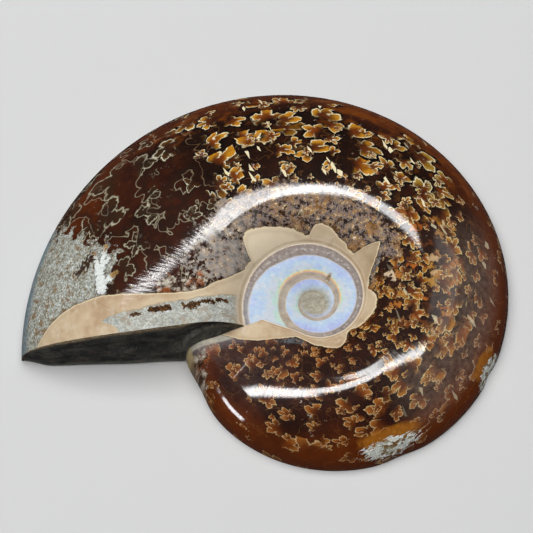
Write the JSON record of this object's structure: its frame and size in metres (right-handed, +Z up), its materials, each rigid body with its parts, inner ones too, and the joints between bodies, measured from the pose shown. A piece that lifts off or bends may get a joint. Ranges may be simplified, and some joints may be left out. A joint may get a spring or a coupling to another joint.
{
  "type": "ammonite fossil half",
  "caption": "Polished, sawn half of a coiled ammonite shell: flat sawn face below, convex spiral side above, open umbilicus, and a rough cut across the last whorl.",
  "frame": {"origin": "centre of the bounding box in plan, on the sawn face that the half lies on", "axes": "+Z up out of the polished side, +X along the longest width, away from the aperture tip; the rough aperture cut faces -Y"},
  "size_m": [0.0946, 0.0774, 0.0167],
  "materials": {
    "polished_shell": "polished brown calcite with gold suture lines, pale matrix and a nacre umbilicus"
  },
  "bodies": {
    "root": {"ammonite_half": "polished_shell"}
  },
  "joints": []
}
